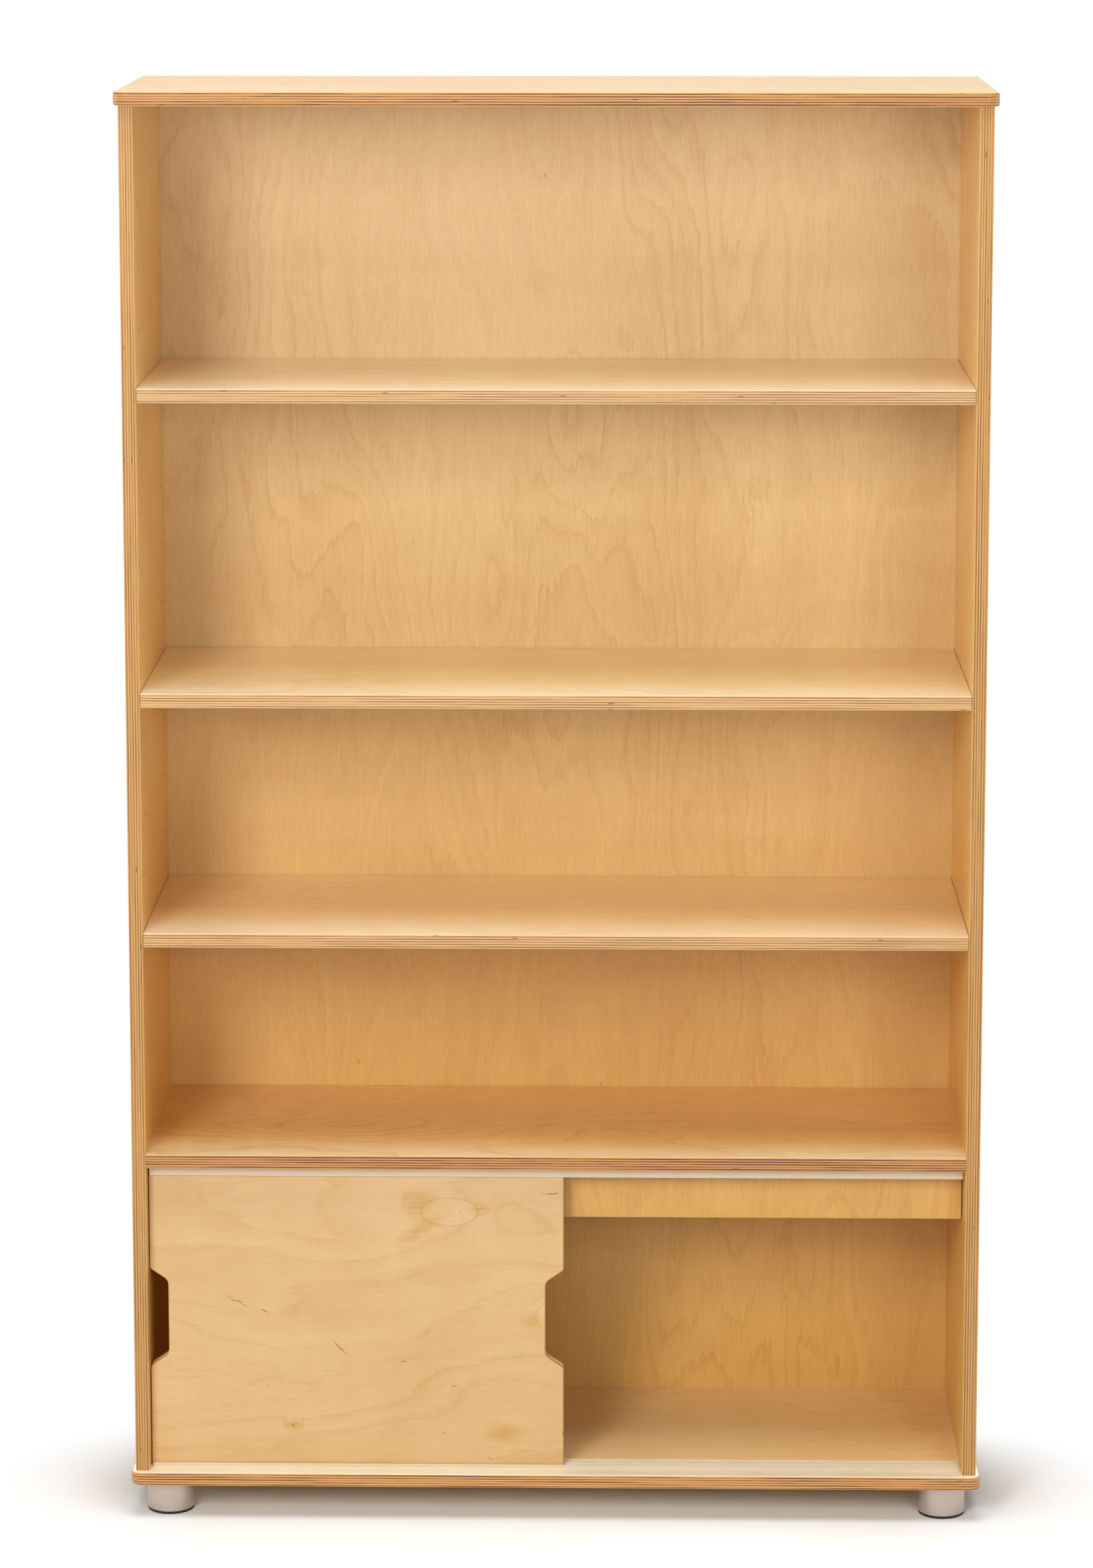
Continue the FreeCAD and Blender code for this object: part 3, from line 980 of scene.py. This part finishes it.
@dataclass
class SlidingDoors:
    """The two by-pass doors and their tracks."""

    plies: int = 5
    figure: float = 0.45
    fibre: float = 0.65
    front_tones: Tone = Tone(light=tone(224, 190, 140), deep=tone(205, 162, 104), stain=tone(205, 147, 62))
    rear_tones: Tone = Tone(light=tone(222, 178, 114), deep=tone(200, 148, 80))
    patches: tuple[Patch, ...] = (
        Patch(-0.1128, 0.3333, 0.030, 0.0152),
        Patch(-0.0040, 0.2184, 0.017, 0.0150),
    )
    stains: tuple[Knot, ...] = (
        Knot(-0.1465, 0.3420, 0.010, 0.0085, stain=0.80, lines=1.8, reach=2.8),
        Knot(-0.1420, 0.3150, 0.016, 0.0060, lean=0.6, stain=0.72, lines=0.8, reach=2.5),
        Knot(-0.0790, 0.3360, 0.007, 0.0045, stain=0.75, lines=0.9, reach=2.4),
        Knot(-0.0240, 0.2120, 0.008, 0.0070, stain=0.55, lines=1.0, reach=2.4),
    )
    knots: tuple[Knot, ...] = (
        Knot(-0.1010, 0.3335, 0.0012, 0.0006, core=0.7),
        Knot(-0.0040, 0.3540, 0.010, 0.0007, core=0.75),
        Knot(-0.3370, 0.2325, 0.013, 0.0006, lean=-0.55, core=0.6, stain=0.5),
        Knot(-0.3100, 0.2225, 0.004, 0.0008, lean=-0.35, core=0.8, stain=0.8),
        Knot(-0.2305, 0.1830, 0.0075, 0.0009, lean=-1.0, core=0.7, stain=0.4),
        Knot(-0.2800, 0.0968, 0.0018, 0.0013, core=0.45, stain=0.75, lines=1.2, reach=8.0),
        Knot(-0.0550, 0.0880, 0.0110, 0.0055, core=0.10, stain=0.85, lines=1.3, reach=2.6),
        Knot(-0.1085, 0.1410, 0.0032, 0.0006, core=0.85),
        Knot(-0.1190, 0.0870, 0.0020, 0.0007, lean=-0.9, core=0.7),
        Knot(-0.0700, 0.0610, 0.0022, 0.0007, lean=-0.9, core=0.6),
        Knot(-0.1520, 0.2046, 0.0024, 0.0006, core=0.5),
        Knot(-0.1850, 0.2460, 0.0026, 0.0006, core=0.4),
    )

    def dress(self) -> None:
        """Gives the doors and tracks their finishes."""
        panel = (Axis.ACROSS, Axis.DEPTH, self.plies)
        dress_board("front_door", *panel, figure=self.figure, fibre=self.fibre, tones=self.front_tones,
                    patches=self.patches, knots=self.stains + self.knots)
        dress_board("rear_door", *panel, figure=self.figure, fibre=self.fibre, tones=self.rear_tones)
        plastic = TrackPlastic().build()
        dress("lower_track", plastic)
        dress("upper_track", plastic)


@dataclass
class Feet:
    """The metal feet with their studs and pads."""

    steel: bpy.types.Material
    metal: SatinMetal = SatinMetal("satin_nickel_foot", tone(195, 182, 170), roughness=0.36, metallic=0.6)
    places: tuple[str, ...] = ("front_left", "front_right", "back_left", "back_right")

    def dress(self) -> None:
        """Gives the feet, studs and pads their finishes."""
        metal = self.metal.build()
        rubber = SoftRubber().build()
        for place in self.places:
            dress("foot_" + place, metal)
            dress("foot_pad_" + place, rubber)
        dress("foot_studs", self.steel)


@dataclass(frozen=True)
class Softbox:
    """A rectangular lamp that points at a place. It can leave the floor out of its light."""

    name: str
    place: Triple
    target: Triple
    width: float
    height: float
    watts: float
    skips_floor: bool = False

    def build(self) -> bpy.types.Object:
        """Sets the lamp up in the scene.

        Returns:
            The lamp.
        """
        lamp = bpy.data.lights.new(self.name, "AREA")
        lamp.shape = "RECTANGLE"
        lamp.size = self.width
        lamp.size_y = self.height
        lamp.energy = self.watts
        made = bpy.data.objects.new(self.name, lamp)
        bpy.context.scene.collection.objects.link(made)
        aim = Vector(self.target) - Vector(self.place)
        made.matrix_world = Matrix.Translation(self.place) @ aim.to_track_quat("-Z", "Y").to_matrix().to_4x4()
        made.visible_camera = False
        return made


@dataclass
class Studio:
    """The pale floor, the white surround and the soft lamps.

    The floor is plain up to near and white from far on, on the scaled and shifted place. Its lift is a glow
    that only the camera sees and makes the plain part paler; it is held back where something stands within
    the shade's reach, which paints a darker shade on the floor near and under the bookcase.
    """

    floor_size: float = 60.0
    floor_pale: Colour = (0.86, 0.86, 0.86)
    floor_paler: Colour = (0.89, 0.89, 0.89)
    mottle_scale: float = 3.0
    near: float = 0.47
    far: float = 0.72
    fade_scale: Triple = (1.0, 1.7, 0.0)
    fade_shift: Triple = (0.0, 0.25, 0.0)
    lift: float = 0.34
    shade_reach: float = 0.22
    shade_depth: float = 3.0
    shade_samples: int = 8
    ambient: float = 0.14
    lamps: tuple[Softbox, ...] = (
        Softbox("left_softbox", (-1.35, -3.5, 2.25), (0.0, 0.0, 1.0), 0.95, 1.20, 70.0),
        Softbox("right_softbox", (1.35, -3.5, 1.62), (0.0, 0.0, 1.0), 0.95, 0.80, 25.0),
        Softbox("brow_softbox", (-0.3, -3.5, 1.42), (0.0, 0.0, 1.3), 1.6, 0.26, 9.0),
        Softbox("top_softbox", (0.0, -1.05, 4.2), (0.0, -0.2, 0.8), 2.6, 1.7, 90.0),
        Softbox("back_softbox", (0.0, 3.6, 1.05), (0.0, 0.1, 0.75), 1.8, 0.8, 60.0, True),
        Softbox("east_softbox", (3.4, 0.4, 1.1), (0.45, 0.0, 0.75), 1.2, 1.6, 44.0, True),
        Softbox("west_softbox", (-3.4, 0.4, 1.1), (-0.45, 0.0, 0.75), 1.2, 1.6, 44.0, True),
    )

    def floor_material(self) -> bpy.types.Material:
        """Pale floor that takes the shadow and fades to plain white far from the bookcase.

        Returns:
            The finished material.
        """
        bench = Bench(bpy.data.materials.new("pale_floor"))
        here = bench.here()
        spread = bench.scaled(here, self.fade_scale, self.fade_shift)
        far = bench.node("VectorMath", {0: spread}, operation="LENGTH").outputs["Value"]
        pale = bench.blend(bench.noise(here, self.mottle_scale), self.floor_pale, self.floor_paler)
        matt = bench.node("BsdfDiffuse", {"Color": pale})
        glow = bench.node("Emission", {"Color": WHITE, "Strength": 1.0})
        seen = bench.seen_directly()
        around = {"Distance": self.shade_reach}
        open_sky = bench.node("AmbientOcclusion", around, samples=self.shade_samples).outputs["AO"]
        # Painted shade: the camera-only glow is held back where the occlusion finds something near, darkening
        # the floor by the bookcase.
        lift = bench.math("MULTIPLY", bench.math("POWER", open_sky, self.shade_depth), self.lift)
        lifted = bench.node("Emission", {"Color": WHITE, "Strength": bench.math("MULTIPLY", seen, lift)})
        plain = bench.node("AddShader", {0: matt.outputs[0], 1: lifted.outputs[0]})
        share = bench.math("MULTIPLY", seen, bench.span(far, Ramp(self.near, self.far)))
        return bench.finish(bench.node("MixShader", {0: share, 1: plain.outputs[0], 2: glow.outputs[0]}))

    def build_floor(self) -> bpy.types.Object:
        """Lays the floor.

        Returns:
            The floor.
        """
        half = self.floor_size / 2
        mesh = bpy.data.meshes.new("floor")
        rim = [(-half, -half, 0), (half, -half, 0), (half, half, 0), (-half, half, 0)]
        mesh.from_pydata(rim, [], [(0, 1, 2, 3)])
        mesh.materials.append(self.floor_material())
        floor = bpy.data.objects.new("floor", mesh)
        bpy.context.scene.collection.objects.link(floor)
        return floor

    def build_world(self) -> None:
        """Sets a white surround that the camera sees as plain white and that lights softly."""
        world = bpy.data.worlds.new("white_surround")
        bpy.context.scene.world = world
        bench = Bench(world)
        strength = bench.node("MapRange", {0: bench.seen_directly(), 3: self.ambient, 4: 1.0}).outputs[0]
        bench.finish(bench.node("Background", {0: WHITE, 1: strength}), "OutputWorld")

    def build(self) -> None:
        """Sets up the whole studio. The lamps that fill in behind and beside don't light the floor."""
        unlit = bpy.data.collections.new("unlit_by_fill_lamps")
        unlit.objects.link(self.build_floor())
        unlit.collection_objects[0].light_linking.link_state = "EXCLUDE"
        self.build_world()
        for lamp in self.lamps:
            made = lamp.build()
            if lamp.skips_floor:
                made.light_linking.receiver_collection = unlit
        log.info("studio: %d lamps", len(self.lamps))


@dataclass
class ProductCamera:
    """The camera in front of the bookcase, above eye level."""

    place: Triple = (0.080, -5.0645, 1.805)
    pitch: float = 8.73
    yaw: float = -1.039
    focal_pixels: float = 7037.9
    long_side_pixels: float = 2296.0
    sensor: float = 36.0
    shift_y: float = -0.15
    far_clip: float = 200.0

    def build(self) -> None:
        """Makes the scene's camera."""
        data = bpy.data.cameras.new("product_camera")
        data.sensor_width = self.sensor
        data.lens = self.sensor * self.focal_pixels / self.long_side_pixels
        data.shift_y = self.shift_y
        data.clip_end = self.far_clip
        made = bpy.data.objects.new("product_camera", data)
        bpy.context.scene.collection.objects.link(made)
        made.location = self.place
        made.rotation_euler = (math.radians(90.0 - self.pitch), 0.0, math.radians(-self.yaw))
        bpy.context.scene.camera = made


def main() -> None:
    """Builds and dresses the whole scene in order."""
    logging.basicConfig(level=logging.INFO, format="%(message)s")
    steel = SatinMetal("zinc_steel", tone(200, 200, 200), roughness=0.34).build()
    for part in (Carcass(), Shelves(steel), SlidingDoors(), Feet(steel)):
        part.dress()
        log.info("%s dressed", type(part).__name__)
    BackPins(steel).build()
    Studio().build()
    ProductCamera().build()
    bpy.context.scene.view_settings.view_transform = "Standard"


if __name__ == "__main__":
    main()
